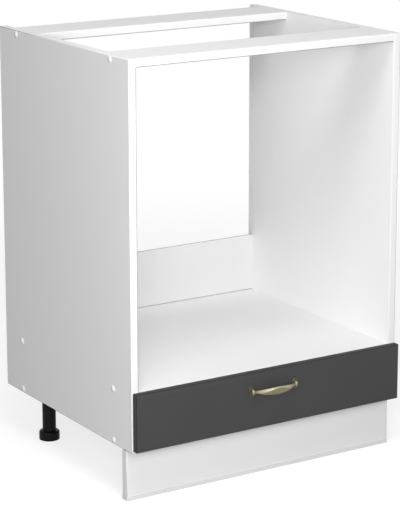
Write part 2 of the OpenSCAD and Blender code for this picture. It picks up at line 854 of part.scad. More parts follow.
// Foot with a rounded shoulder and a threaded stem
module leg_foot(side, end) {
    color("dimgray") translate([side * leg_x, leg_y(end), 0]) {
        rotate_extrude() union() {
            square([foot_d / 2, foot_h - shoulder_h]);
            square([foot_d / 2 - shoulder_h, foot_h]);
            translate([foot_d / 2 - shoulder_h, foot_h - shoulder_h]) intersection() {
                circle(r = shoulder_h);
                square(shoulder_h);
            }
        }
        cylinder(d = stem_d, h = foot_h + stem_l);
    }
}

module leg_screws() {
    color("silver") at_legs() at_flange_screws() pan_screw(wood_screw_d, leg_screw_l);
}

module plinth_board() {
    color("white") difference() {
        centred_board(cabinet_w, plinth_y, board_t, plinth_z, carcass_z - plinth_top_gap - plinth_z);
        for (side = sides) on_side(side) at_clip_screws() pilot_hole(wood_screw_d, short_screw_l);
    }
}

// Channel over the lower edge of the plinth board
module plinth_seal() {
    color("gainsboro") difference() {
        centred_board(cabinet_w, plinth_y - seal_t, board_t + 2 * seal_t, seal_z, seal_h);
        centred_board(cabinet_w + 2 * cut_over, plinth_y, board_t, plinth_z, seal_h);
    }
}

// Open ring that snaps round a front leg, on a plate screwed to the plinth board
module plinth_clip(side) {
    ring_r = column_d / 2 + column_gap + clip_t;
    neck_l = leg_front_y - ring_r + clip_t - plinth_rear_y;
    mouth_reach = 2 * ring_r;
    mouth_x = mouth_reach * sin(clip_mouth / 2);
    mouth_y = mouth_reach * cos(clip_mouth / 2);
    color("dimgray") on_side(side) difference() {
        translate([0, 0, clip_z - clip_h / 2]) linear_extrude(clip_h) difference() {
            union() {
                translate([leg_x, leg_front_y]) circle(r = ring_r);
                translate([leg_x - clip_neck_w / 2, plinth_rear_y]) square([clip_neck_w, neck_l]);
                translate([leg_x - clip_plate_w / 2, plinth_rear_y]) square([clip_plate_w, clip_t]);
            }
            translate([leg_x, leg_front_y]) {
                circle(r = column_d / 2 + column_gap);
                polygon([[0, 0], [mouth_x, mouth_y], [-mouth_x, mouth_y]]);
            }
        }
        at_clip_screws() pilot_hole(wood_screw_d, short_screw_l);
    }
}

module plinth_clip_screws() {
    color("silver") for (side = sides) on_side(side) at_clip_screws() pan_screw(wood_screw_d, short_screw_l);
}

side_panel(left);  // left_side_panel
side_panel(right);  // right_side_panel
bottom_panel();
oven_shelf();
top_rail(front_y);  // front_top_rail
top_rail(rear_y - rear_rail_inset - rail_d);  // rear_top_rail
back_panel();
back_panel_nails();
carcass_screws();
screw_caps();
cabinet_runner(left);  // left_cabinet_runner
cabinet_runner(right);  // right_cabinet_runner
cabinet_runner_screws();
cabinet_roller_axles();
cabinet_roller(left);  // left_cabinet_roller
cabinet_roller(right);  // right_cabinet_roller
drawer_front();
drawer_front_screws();
handle();
handle_screws();
drawer_box_front();
drawer_box_back();
drawer_side(left);  // left_drawer_side
drawer_side(right);  // right_drawer_side
drawer_bottom();
drawer_bottom_nails();
drawer_box_screws();
drawer_runner(left);  // left_drawer_runner
drawer_runner(right);  // right_drawer_runner
drawer_runner_screws();
drawer_roller_axles();
drawer_roller(left);  // left_drawer_roller
drawer_roller(right);  // right_drawer_roller
leg_socket(left, front);  // front_left_socket
leg_socket(right, front);  // front_right_socket
leg_socket(left, rear);  // rear_left_socket
leg_socket(right, rear);  // rear_right_socket
leg_column(left, front);  // front_left_column
leg_column(right, front);  // front_right_column
leg_column(left, rear);  // rear_left_column
leg_column(right, rear);  // rear_right_column
leg_foot(left, front);  // front_left_foot
leg_foot(right, front);  // front_right_foot
leg_foot(left, rear);  // rear_left_foot
leg_foot(right, rear);  // rear_right_foot
leg_screws();
plinth_board();
plinth_seal();
plinth_clip(left);  // left_plinth_clip
plinth_clip(right);  // right_plinth_clip
plinth_clip_screws();
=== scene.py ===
"""Looks of the oven base cabinet: materials, rounded edges, the brass handle, room, lamps and camera."""
import json
import math

import bpy
import bmesh
from mathutils import Matrix, Vector

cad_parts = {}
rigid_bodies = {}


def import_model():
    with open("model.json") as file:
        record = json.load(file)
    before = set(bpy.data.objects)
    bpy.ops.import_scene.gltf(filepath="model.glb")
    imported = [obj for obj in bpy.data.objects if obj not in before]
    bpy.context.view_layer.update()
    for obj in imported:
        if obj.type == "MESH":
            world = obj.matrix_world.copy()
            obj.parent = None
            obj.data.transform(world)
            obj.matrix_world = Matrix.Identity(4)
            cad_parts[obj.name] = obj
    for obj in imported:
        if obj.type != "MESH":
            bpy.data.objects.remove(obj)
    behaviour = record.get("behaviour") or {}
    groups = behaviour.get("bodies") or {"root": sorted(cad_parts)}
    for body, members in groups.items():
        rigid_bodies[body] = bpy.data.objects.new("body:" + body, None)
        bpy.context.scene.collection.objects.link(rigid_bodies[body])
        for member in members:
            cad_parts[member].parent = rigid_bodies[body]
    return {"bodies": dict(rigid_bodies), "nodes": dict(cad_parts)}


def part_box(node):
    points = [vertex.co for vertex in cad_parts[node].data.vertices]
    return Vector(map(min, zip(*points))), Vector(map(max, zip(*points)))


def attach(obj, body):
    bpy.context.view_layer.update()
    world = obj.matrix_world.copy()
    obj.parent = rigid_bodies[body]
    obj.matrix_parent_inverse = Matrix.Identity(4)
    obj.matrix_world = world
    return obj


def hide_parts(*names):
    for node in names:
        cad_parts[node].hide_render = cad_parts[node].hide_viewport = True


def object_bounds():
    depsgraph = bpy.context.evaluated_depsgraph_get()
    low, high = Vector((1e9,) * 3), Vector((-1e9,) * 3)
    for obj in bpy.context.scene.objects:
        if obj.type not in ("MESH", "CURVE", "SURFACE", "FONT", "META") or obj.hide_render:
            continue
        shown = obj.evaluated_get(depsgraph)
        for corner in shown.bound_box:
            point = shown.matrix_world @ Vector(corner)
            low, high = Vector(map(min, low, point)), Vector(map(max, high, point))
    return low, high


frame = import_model()
cad_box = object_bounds()

MM = 0.001

# Camera, fitted to the photograph's straight edges: place in metres, turns in degrees,
# focal length and image height in the photograph's pixels
CAMERA_PLACE = (-2.1030, -3.3115, 1.3940)
CAMERA_YAW = 32.321
CAMERA_PITCH = 12.786
CAMERA_ROLL = -0.060
FOCAL_PIXELS = 2064.3
IMAGE_HEIGHT = 507
SENSOR = 36.0
SHIFT_UP = -0.116

# Strength of the world on the object, and of what the camera sees of the room
WORLD_LEVEL = 0.20
SEEN_LEVEL = 1.0
WHITE_LIGHT = (1.0, 1.0, 1.0, 1.0)


# node graphs
class Nodes:
    """A node tree, with short calls for the nodes that materials and modifiers share."""

    def __init__(self, tree):
        self.tree = tree

    def add(self, kind, settings=None, inputs=None):
        """A new node; a kind without Node in its name is short for a shader node's."""
        node = self.tree.nodes.new(kind if "Node" in kind else "ShaderNode" + kind)
        for key, value in (settings or {}).items():
            setattr(node, key, value)
        for key, value in (inputs or {}).items():
            self.put(node.inputs[key], value)
        return node

    def put(self, socket, value):
        if isinstance(value, bpy.types.NodeSocket):
            self.tree.links.new(value, socket)
        else:
            socket.default_value = value

    def math(self, operation, a, b=0.0, clamp=False):
        settings = {"operation": operation, "use_clamp": clamp}
        return self.add("Math", settings, {0: a, 1: b}).outputs[0]

    def axis(self, vector, axis):
        return self.add("SeparateXYZ", None, {0: vector}).outputs["XYZ".index(axis)]

    def vector(self, operation, a, b=(0.0, 0.0, 0.0)):
        return self.add("VectorMath", {"operation": operation}, {0: a, 1: b}).outputs

    def either(self, masks):
        """The largest of several masks."""
        total = masks[0]
        for mask in masks[1:]:
            total = self.math("MAXIMUM", total, mask)
        return total

    def seen(self):
        """1 for rays from the camera, from glossy faces and through clear ones, else 0."""
        rays = self.add("LightPath").outputs
        return self.either([rays[name] for name in ("Is Camera Ray", "Is Glossy Ray", "Is Transmission Ray")])


class Graph(Nodes):
    """A material's node graph, with short calls for the nodes that the materials share."""

    def __init__(self, name):
        self.material = bpy.data.materials.new(name)
        self.material.use_nodes = True
        super().__init__(self.material.node_tree)
        self.tree.nodes.clear()
        coords = self.add("TexCoord").outputs
        self.place = coords["Object"]
        self.facing = coords["Normal"]

    def scaled(self, factors):
        return self.vector("MULTIPLY", self.place, factors)[0]

    def ramp(self, value, low, high, out_low=0.0, out_high=1.0):
        """out_low below low, out_high above high, and a smooth step between."""
        settings = {"interpolation_type": "SMOOTHSTEP", "clamp": True}
        inputs = {"Value": value, "From Min": low, "From Max": high, "To Min": out_low, "To Max": out_high}
        return self.add("MapRange", settings, inputs).outputs[0]

    def noise(self, size, detail, roughness, vector=None):
        """Noise whose features are about size metres wide."""
        inputs = {"Vector": vector or self.place, "Scale": 1.0 / size,
                  "Detail": detail, "Roughness": roughness}
        return self.add("TexNoise", None, inputs).outputs["Fac"]

    def cells(self, size, vector):
        """Random cells about size metres wide."""
        return self.add("TexVoronoi", None, {"Vector": vector, "Scale": 1.0 / size}).outputs

    def mix(self, factor, a, b):
        node = self.add("Mix", {"data_type": "RGBA"})
        self.put(node.inputs[0], factor)
        self.put(node.inputs[6], a if isinstance(a, bpy.types.NodeSocket) else (*a, 1.0))
        self.put(node.inputs[7], b if isinstance(b, bpy.types.NodeSocket) else (*b, 1.0))
        return node.outputs[2]

    def bump(self, height, depth, strength):
        inputs = {"Height": height, "Distance": depth, "Strength": strength}
        return self.add("Bump", None, inputs).outputs[0]

    def finish(self, colour, roughness, normal, **constants):
        """Ends the graph in one Principled shader; the constants are its own sockets' names and values."""
        inputs = {"Base Color": colour, "Roughness": roughness, "Normal": normal}
        shader = self.add("BsdfPrincipled", None, inputs)
        for key, value in constants.items():
            shader.inputs[key.replace("_", " ")].default_value = value
        self.add("OutputMaterial", None, {"Surface": shader.outputs[0]})
        return self.material


# Melamine: its white, with a lighter copy as painted light on the shelves and a darker copy as painted shade
# on the plinth, the greys of painted shade on its rounded edges, and the seam of the front edge band
WHITE = (0.86, 0.86, 0.86)
# Painted light: the shelves get a lighter copy of the melamine's white
SHELF_PAINTED_LIGHT_WHITE = (0.885, 0.885, 0.885)
# Painted shade: the plinth gets a darker copy of the melamine's white
PLINTH_PAINTED_SHADE_WHITE = (0.82, 0.82, 0.82)
# Grey of the painted shade on rounded edges that face right, back or down; darker on the side panels
EDGE_SHADE_GREY = 0.39
SIDE_EDGE_SHADE_GREY = 0.22
SEAM_COLOUR = (0.62, 0.62, 0.61)
BAND_THICKNESS = 1.0 * MM
# Sawn chipboard
CHIP_LIGHT = (0.52, 0.39, 0.25)
CHIP_DARK = (0.25, 0.165, 0.095)
FLAKE_SIZE = 1.6 * MM
PIT_DEPTH = 12.0
# Hardboard: its lacquer, the painted shade where the shelf meets it, and its pressed fibre
LACQUER = (0.78, 0.78, 0.78)
JOINT_SHADE_COLOUR = (0.40, 0.40, 0.40)
FIBRE_DARK = (0.13, 0.072, 0.036)
FIBRE_LIGHT = (0.36, 0.235, 0.14)
# Brass: bare metal from dark to light, patina in its hollows, and paler brass on its edge that is both wear
# and a painted highlight
BRASS_DARK = (0.178, 0.155, 0.080)
BRASS_LIGHT = (0.245, 0.216, 0.118)
PATINA = (0.050, 0.044, 0.026)
RUB_HIGHLIGHT_BRASS = (0.47, 0.44, 0.34)


def faces_towards(graph, axis, sign):
    """1 on faces that point along an axis, else 0."""
    return graph.ramp(graph.math("MULTIPLY", graph.axis(graph.facing, axis), sign), 0.7, 0.8)


def chipboard(graph):
    """Colour and height of a sawn chipboard edge: pressed flakes of several tones with pits between."""
    flakes = graph.scaled((0.45, 0.45, 1.6))
    cells = graph.cells(FLAKE_SIZE, flakes)
    fine = graph.noise(0.5 * MM, 4.0, 0.7)
    tone = graph.math("MULTIPLY", graph.axis(cells["Color"], "X"), 0.75)
    tone = graph.math("ADD", tone, graph.math("MULTIPLY", fine, 0.35), clamp=True)
    height = graph.math("SUBTRACT", fine, cells["Distance"])
    return graph.mix(tone, CHIP_DARK, CHIP_LIGHT), height


def painted_edge_shade(graph, joint_z):
    """1 on the rounded edges that face right, back or down, where grey is painted on as shade.

    The upright ones stay white above joint_z, where a rail closes on them."""
    parts = [graph.axis(graph.facing, axis) for axis in "XYZ"]
    flat = graph.either([graph.math("ABSOLUTE", part) for part in parts])
    lee = graph.either([parts[0], parts[1], graph.math("MULTIPLY", parts[2], -1.0)])
    edge = graph.math("MULTIPLY", graph.ramp(flat, 0.985, 0.998, 1.0, 0.0), graph.ramp(lee, 0.05, 0.25))
    if joint_z is None:
        return edge
    level = graph.ramp(graph.math("ABSOLUTE", parts[2]), 0.1, 0.25)
    below = graph.ramp(graph.axis(graph.place, "Z"), joint_z - BAND_THICKNESS, joint_z, 1.0, 0.0)
    return graph.math("MULTIPLY", edge, graph.math("MAXIMUM", level, below))


def white_board(name, raw, band_y=None, joint_z=None, white=WHITE, grey=EDGE_SHADE_GREY):
    """White melamine board with a faint orange peel, and painted shade in grey on its rounded edges that face
    right, back or down.

    raw lists the axis and sign of its sawn edges, and band_y is where its front edge band begins."""
    graph = Graph(name)
    peel = graph.noise(1.3 * MM, 2.0, 0.45)
    cloud = graph.noise(60 * MM, 2.0, 0.5)
    skin = graph.mix(cloud, tuple(0.985 * c for c in white), white)
    if band_y is not None:
        depth = graph.math("SUBTRACT", graph.axis(graph.place, "Y"), band_y)
        away = graph.math("ABSOLUTE", graph.math("SUBTRACT", depth, BAND_THICKNESS))
        seam = graph.ramp(away, 0.08 * MM, 0.22 * MM, 1.0, 0.0)
        skin = graph.mix(seam, skin, SEAM_COLOUR)
    # Painted shade: rounded edges that face right, back or down are mixed towards grey
    skin = graph.mix(painted_edge_shade(graph, joint_z), skin, (grey, grey, grey))
    sawn = graph.either([faces_towards(graph, axis, sign) for axis, sign in raw])
    chips, pits = chipboard(graph)
    skin = graph.mix(sawn, skin, chips)
    roughness = graph.ramp(peel, 0.3, 0.7, 0.30, 0.37)
    roughness = graph.math("MAXIMUM", roughness, graph.math("MULTIPLY", sawn, 0.8))
    pits = graph.math("MULTIPLY", graph.math("MULTIPLY", pits, sawn), PIT_DEPTH)
    height = graph.math("ADD", peel, pits)
    return graph.finish(skin, roughness, graph.bump(height, 0.012 * MM, 0.6), Specular_IOR_Level=0.03)


def hardboard(inner_y, joint_z):
    """Thin hardboard: white lacquer on the inner side, pressed brown fibre on the outer side and edges.

    inner_y is the back panel's inner side, behind which its top edge stays brown. A thin line of painted
    shade runs along joint_z, where the shelf meets the lacquer."""
    graph = Graph("hardboard")
    fibres = graph.noise(0.8 * MM, 5.0, 0.7, graph.scaled((0.5, 1.0, 1.0)))
    cloud = graph.noise(25 * MM, 3.0, 0.6)
    tone = graph.math("ADD", graph.math("MULTIPLY", fibres, 0.7), graph.math("MULTIPLY", cloud, 0.3))
    brown = graph.mix(tone, FIBRE_DARK, FIBRE_LIGHT)
    painted = graph.either([faces_towards(graph, "Y", -1.0), faces_towards(graph, "Z", 1.0)])
    inside = graph.ramp(graph.axis(graph.place, "Y"), inner_y + 0.1 * MM, inner_y + 0.3 * MM, 1.0, 0.0)
    painted = graph.math("MULTIPLY", painted, inside)
    peel = graph.noise(2.5 * MM, 2.0, 0.5)
    above = graph.math("SUBTRACT", graph.axis(graph.place, "Z"), joint_z)
    # Painted shade: a thin grey line on the lacquer where the shelf meets it
    joint_shade = graph.ramp(graph.math("ABSOLUTE", above), 1.1 * MM, 2.5 * MM, 1.0, 0.0)
    lacquer = graph.mix(joint_shade, LACQUER, JOINT_SHADE_COLOUR)
    colour = graph.mix(painted, brown, lacquer)
    roughness = graph.ramp(painted, 0.0, 1.0, 0.72, 0.42)
    height = graph.mix(painted, fibres, peel)
    return graph.finish(colour, roughness, graph.bump(height, 0.03 * MM, 0.5), Specular_IOR_Level=0.22)


def graphite_film():
    """Matt graphite film over a milled front: soft sheen, fine leather-like print, and painted shade on the
    faces and rounded edges that turn away from the front.
    """
    graph = Graph("graphite_film")
    grain = graph.noise(0.45 * MM, 3.0, 0.6)
    cloud = graph.noise(90 * MM, 2.0, 0.5)
    tone = graph.math("ADD", graph.math("MULTIPLY", grain, 0.25), graph.math("MULTIPLY", cloud, 0.75))
    colour = graph.mix(tone, (0.0475, 0.0475, 0.0482), (0.0535, 0.0535, 0.0542))
    # Painted shade: faces and rounded edges that turn away from the front are mixed towards a darker graphite
    level = graph.ramp(graph.math("MULTIPLY", graph.axis(graph.facing, "Y"), -1.0), 0.80, 0.95)
    colour = graph.mix(level, (0.020, 0.020, 0.0205), colour)
    back = faces_towards(graph, "Y", 1.0)
    colour = graph.mix(back, colour, tuple(0.97 * c for c in WHITE))
    roughness = graph.ramp(grain, 0.3, 0.7, 0.46, 0.56)
    return graph.finish(colour, roughness, graph.bump(grain, 0.02 * MM, 0.5), Specular_IOR_Level=0.2)


def antique_brass():
    """Antique brass: olive-gold metal, clouds of dark patina, fine brushed wear, and a paler edge that is
    both wear and a painted highlight.

    The mesh's attributes hollow and rub_and_highlight say where the patina lies and where the paler brass of
    wear and painted highlight goes."""
    graph = Graph("antique_brass")
    cloud = graph.noise(7 * MM, 4.0, 0.6)
    fine = graph.noise(0.5 * MM, 4.0, 0.65, graph.scaled((0.25, 1.0, 1.0)))
    hollow = graph.add("Attribute", {"attribute_name": "hollow"}).outputs["Fac"]
    rub_and_highlight = graph.add("Attribute", {"attribute_name": "rub_and_highlight"}).outputs["Fac"]
    tarnish = graph.ramp(cloud, 0.35, 0.75, 0.0, 0.30)
    patina = graph.math("ADD", tarnish, hollow, clamp=True)
    gold = graph.mix(fine, BRASS_DARK, BRASS_LIGHT)
    # Painted highlight and wear: paler brass where rub_and_highlight is high
    colour = graph.mix(rub_and_highlight, graph.mix(patina, gold, PATINA), RUB_HIGHLIGHT_BRASS)
    roughness = graph.ramp(fine, 0.3, 0.7, 0.29, 0.39)
    roughness = graph.math("ADD", roughness, graph.math("MULTIPLY", tarnish, 0.18))
    roughness = graph.math("ADD", roughness, graph.math("MULTIPLY", hollow, 0.45))
    return graph.finish(colour, roughness, graph.bump(fine, 0.015 * MM, 0.4), Metallic=1.0,
                        Coat_Weight=0.5, Coat_Roughness=0.30)


def zinc():
    """Zinc-plated steel: pale metal with cloudy passivation and fine tool marks."""
    graph = Graph("zinc_steel")
    cloud = graph.noise(3 * MM, 3.0, 0.6)
    marks = graph.noise(0.25 * MM, 3.0, 0.7, graph.scaled((0.3, 1.0, 1.0)))
    colour = graph.mix(cloud, (0.60, 0.60, 0.58), (0.76, 0.77, 0.78))
    roughness = graph.ramp(marks, 0.3, 0.7, 0.24, 0.40)
    return graph.finish(colour, roughness, graph.bump(marks, 0.01 * MM, 0.4), Metallic=1.0)


def powder_coat():
    """White powder-coated steel with its pebbled skin."""
    graph = Graph("white_powder_coat")
    pebble = graph.noise(0.7 * MM, 2.0, 0.5)
    cloud = graph.noise(40 * MM, 2.0, 0.5)
    colour = graph.mix(cloud, (0.78, 0.775, 0.75), (0.82, 0.815, 0.79))
    roughness = graph.ramp(pebble, 0.3, 0.7, 0.36, 0.48)
    return graph.finish(colour, roughness, graph.bump(pebble, 0.03 * MM, 0.5))


def nylon():
    """Milky nylon of the rollers: slightly translucent, satin."""
    graph = Graph("white_nylon")
    cloud = graph.noise(4 * MM, 3.0, 0.5)
    flow = graph.noise(0.6 * MM, 2.0, 0.5)
    colour = graph.mix(cloud, (0.74, 0.73, 0.69), (0.82, 0.81, 0.77))
    roughness = graph.ramp(flow, 0.3, 0.7, 0.34, 0.44)
    return graph.finish(colour, roughness, graph.bump(flow, 0.01 * MM, 0.4), Subsurface_Weight=0.15)


def cap_plastic():
    """Glossy white moulded caps over the screws, with painted shade in grey where their rims face back or
    down.
    """
    graph = Graph("white_cap")
    flow = graph.noise(1.2 * MM, 2.0, 0.5)
    colour = graph.mix(flow, (0.86, 0.86, 0.85), (0.91, 0.91, 0.90))
    # Painted shade: the rims that face back or down are mixed towards grey
    lee = graph.vector("DOT_PRODUCT", graph.facing, (0.0, 1.0, -0.5))["Value"]
    colour = graph.mix(graph.ramp(lee, 0.02, 0.25), colour, (0.40, 0.40, 0.40))
    roughness = graph.ramp(flow, 0.3, 0.7, 0.20, 0.27)
    return graph.finish(colour, roughness, graph.bump(flow, 0.01 * MM, 0.3))


def black_plastic():
    """Black moulded plastic of the legs: satin, with spark-eroded grain and paler patches of wear."""
    graph = Graph("black_plastic")
    grain = graph.noise(0.35 * MM, 3.0, 0.6)
    rub = graph.noise(14 * MM, 3.0, 0.6)
    colour = graph.mix(rub, (0.004, 0.004, 0.0042), (0.0075, 0.0075, 0.0078))
    roughness = graph.ramp(grain, 0.3, 0.7, 0.38, 0.52)
    return graph.finish(colour, roughness, graph.bump(grain, 0.02 * MM, 0.5), Specular_IOR_Level=0.09)


def soft_seal():
    """Milky grey soft plastic of the plinth's seal, which lets some light through."""
    graph = Graph("clear_seal")
    flow = graph.noise(5 * MM, 2.0, 0.5, graph.scaled((0.05, 1.0, 1.0)))
    colour = graph.mix(flow, (0.78, 0.79, 0.79), (0.84, 0.85, 0.85))
    roughness = graph.ramp(flow, 0.3, 0.7, 0.28, 0.40)
    return graph.finish(colour, roughness, graph.bump(flow, 0.01 * MM, 0.4),
                        Transmission_Weight=0.10, IOR=1.5)


# rounded edges
# Edges steeper than SHARP_ANGLE are shaded sharp, and convex ones steeper than CONVEX_ANGLE can be
# rounded. Faces within FLAT_ANGLE of one plane are joined first.
SHARP_ANGLE = math.radians(35)
CONVEX_ANGLE = math.radians(38)
FLAT_ANGLE = math.radians(0.5)
# Cosine from which an edge counts as lying along an axis
ALIGNED = 0.99
# Edges this near to the back panel's middle plane belong to its grooves
GROOVE_Y = (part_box("back_panel")[0].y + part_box("back_panel")[1].y) / 2
GROOVE_REACH = 4 * MM
WELD_DISTANCE = 0.005 * MM
EDGE_STEPS = 3


def modifier_nodes(name):
    """A new geometry node group's nodes, its input mesh and the socket of its output mesh."""
    tree = bpy.data.node_groups.new(name, "GeometryNodeTree")
    tree.interface.new_socket("Geometry", in_out="INPUT", socket_type="NodeSocketGeometry")
    tree.interface.new_socket("Geometry", in_out="OUTPUT", socket_type="NodeSocketGeometry")
    nodes = Nodes(tree)
    return nodes, nodes.add("NodeGroupInput").outputs[0], nodes.add("NodeGroupOutput").inputs[0]


def edge_marks(axes, shortest):
    """Node group that marks the edges to round: convex, at least shortest long and along one of the axes.

    axes gives for each axis how far from the middle plane its edges must lie. The edges along the back
    panel's grooves aren't marked."""
    nodes, start, end = modifier_nodes("edge_marks")
    angle = nodes.add("GeometryNodeInputMeshEdgeAngle").outputs["Signed Angle"]
    ends = nodes.add("GeometryNodeInputMeshEdgeVertices").outputs
    first, second = ends["Position 1"], ends["Position 2"]
    length = nodes.vector("DISTANCE", first, second)["Value"]
    course = nodes.vector("NORMALIZE", nodes.vector("SUBTRACT", first, second)[0])[0]
    course = nodes.vector("ABSOLUTE", course)[0]
    aside = nodes.math("ABSOLUTE", nodes.axis(first, "X"))
    along = nodes.either([
        nodes.math("MULTIPLY", nodes.math("GREATER_THAN", nodes.axis(course, axis), ALIGNED),
                   nodes.math("GREATER_THAN", aside, reach))
        for axis, reach in axes.items()
    ])
    inputs = {0: nodes.axis(first, "Y"), 1: GROOVE_Y, 2: GROOVE_REACH}
    in_groove = nodes.add("Math", {"operation": "COMPARE"}, inputs).outputs[0]
    mark = nodes.math("MULTIPLY", along, nodes.math("SUBTRACT", 1.0, in_groove))
    mark = nodes.math("MULTIPLY", mark, nodes.math("GREATER_THAN", angle, CONVEX_ANGLE))
    mark = nodes.math("MULTIPLY", mark, nodes.math("GREATER_THAN", length, shortest))
    settings = {"data_type": "FLOAT", "domain": "EDGE"}
    inputs = {"Geometry": start, "Name": "bevel_weight_edge", "Value": mark}
    store = nodes.add("GeometryNodeStoreNamedAttribute", settings, inputs)
    nodes.put(end, store.outputs[0])
    return nodes.tree


def smooth_by_angle():
    """Node group that shades smooth, with sharp edges where two faces meet steeply."""
    nodes, start, end = modifier_nodes("smooth_by_angle")
    faces = nodes.add("GeometryNodeSetShadeSmooth", {"domain": "FACE"}, {"Geometry": start})
    angle = nodes.add("GeometryNodeInputMeshEdgeAngle").outputs["Unsigned Angle"]
    steep = nodes.math("GREATER_THAN", angle, SHARP_ANGLE)
    inputs = {"Geometry": faces.outputs[0], "Selection": steep, "Shade Smooth": False}
    edges = nodes.add("GeometryNodeSetShadeSmooth", {"domain": "EDGE"}, inputs)
    nodes.put(end, edges.outputs[0])
    return nodes.tree


def weld(obj):
    """Joins points that lie together, so that the mesh is closed."""
    obj.modifiers.new("weld", "WELD").merge_threshold = WELD_DISTANCE


def round_edges(obj, width, marks):
    """Rounds the marked edges of a board, as its edge bands are."""
    weld(obj)
    flat = obj.modifiers.new("flat_faces", "DECIMATE")
    flat.decimate_type = "DISSOLVE"
    flat.angle_limit = FLAT_ANGLE
    obj.modifiers.new("marks", "NODES").node_group = marks
    bevel = obj.modifiers.new("round", "BEVEL")
    bevel.limit_method = "WEIGHT"
    bevel.width = width
    bevel.segments = EDGE_STEPS
    bevel.use_clamp_overlap = False
    obj.modifiers.new("smooth", "NODES").node_group = SMOOTH
    weighted = obj.modifiers.new("normals", "WEIGHTED_NORMAL")
    weighted.keep_sharp = True
    weighted.weight = 100


SMOOTH = smooth_by_angle()


# The handle's bow from its middle to its end: distance from the middle, reach of its outer face,
# height of its upper and lower edge, and thickness, in millimetres
BOW = (
    (0.0, 22.0, 7.9, -7.9, 4.2),
    (9.0, 21.0, 6.9, -7.8, 4.1),
    (18.0, 18.4, 5.6, -7.5, 3.9),
    (26.0, 16.0, 4.5, -6.8, 3.7),
    (32.0, 13.9, 3.8, -5.6, 3.6),
    (38.0, 11.4, 3.2, -4.0, 3.5),
    (43.0, 9.3, 3.0, -2.9, 3.8),
    (47.2, 8.5, 3.3, -2.9, 5.0),
    (50.0, 7.9, 3.9, -3.5, 5.8),
    (51.4, 5.4, 4.2, -3.8, 5.2),
)
# Outer face of the leaf from its upper to its lower edge: share of the height, and share of the
# thickness that is cut away there
LEAF = (
    (0.0, 0.90), (0.015, 0.70), (0.05, 0.53), (0.15, 0.36), (0.25, 0.18), (0.34, 0.035), (0.37, 0.0),
    (0.42, 0.01), (0.54, 0.07), (0.66, 0.17), (0.77, 0.31), (0.84, 0.45), (0.875, 0.52), (0.91, 0.42),
    (0.95, 0.42), (0.985, 0.55), (1.0, 0.80),
)
# The bow is a plain rod where it is lower than the first height, and a full leaf from the second
LEAF_HEIGHTS = (3.0, 6.5)
# The upper facet ends at FACET_END of LEAF, leans back by FACET_SLOPE, and is rounded off where LEAF
# cuts more than FACET_CUT. Its share of the bow's height grows along FACET_RUN.
FACET_END = 0.37
FACET_CUT = 0.53
FACET_SLOPE = 0.32
FACET_SHARES = (0.22, 0.72)
FACET_RUN = (4.0, 40.0)
# The groove's place and width in LEAF, and how much patina it holds
GROOVE_PLACE = 0.875
GROOVE_SPREAD = 0.02
GROOVE_STAIN = 0.6
# Patina on the bow's ends and inner side, and paler brass on its upper facet, both wear and painted
# highlight, which fades along RUB_HIGHLIGHT_RUN
END_STAIN = 0.5
END_RUN = (46.0, 49.0)
RUB_HIGHLIGHT = 0.85
RUB_HIGHLIGHT_RUN = (20.0, 47.0)
INNER_POINTS = 9
BOW_STEPS = 10
# Rosettes, in millimetres: a rounded oval plate with a beaded rim, and an upright shell on it
SCREW_HALF_SPAN = 48.0
ROSETTE_SHIFT = 1.5
ROSETTE_HALF_W = 7.2
ROSETTE_HALF_H = 10.9
ROSETTE_POWER = 2.2
ROSETTE_RINGS = 18
ROSETTE_SPOKES = 56
PLATE_HEIGHT = 1.25
RIM_DROP = 0.9
BEAD_HEIGHT = 0.75
BEAD_PLACE = 0.87
BEAD_SPREAD = 0.10
SHELL_HALF_W = 4.3
SHELL_HALF_H = 7.6
SHELL_SHIFT = 0.8
SHELL_RISE = 0.4
SHELL_HEIGHT = 6.9


def smooth(value, low, high):
    """0 below low, 1 above high, and a smooth step between."""
    share = min(max((value - low) / (high - low), 0.0), 1.0)
    return share * share * (3 - 2 * share)


def bell(value, middle, spread):
    """1 at middle, falling to about a third at spread on either side."""
    return math.exp(-((value - middle) / spread) ** 2)


def catmull_rom(p, q, r, s, t):
    """The value at t between q and r, on the curve through all four."""
    linear = (r - p) * t
    square = (2 * p - 5 * q + 4 * r - s) * t ** 2
    cubic = (3 * q - p - 3 * r + s) * t ** 3
    return 0.5 * (2 * q + linear + square + cubic)


def curve_through(rows, steps):
    """Points on a smooth curve through rows of numbers, which is mirrored at the first row."""
    mirrored = [(-rows[1][0], *rows[1][1:]), *rows, rows[-1]]
    points = []
    for i in range(len(rows) - 1):
        for step in range(steps):
            points.append([catmull_rom(*column, step / steps) for column in zip(*mirrored[i:i + 4])])
    return points + [list(rows[-1])]


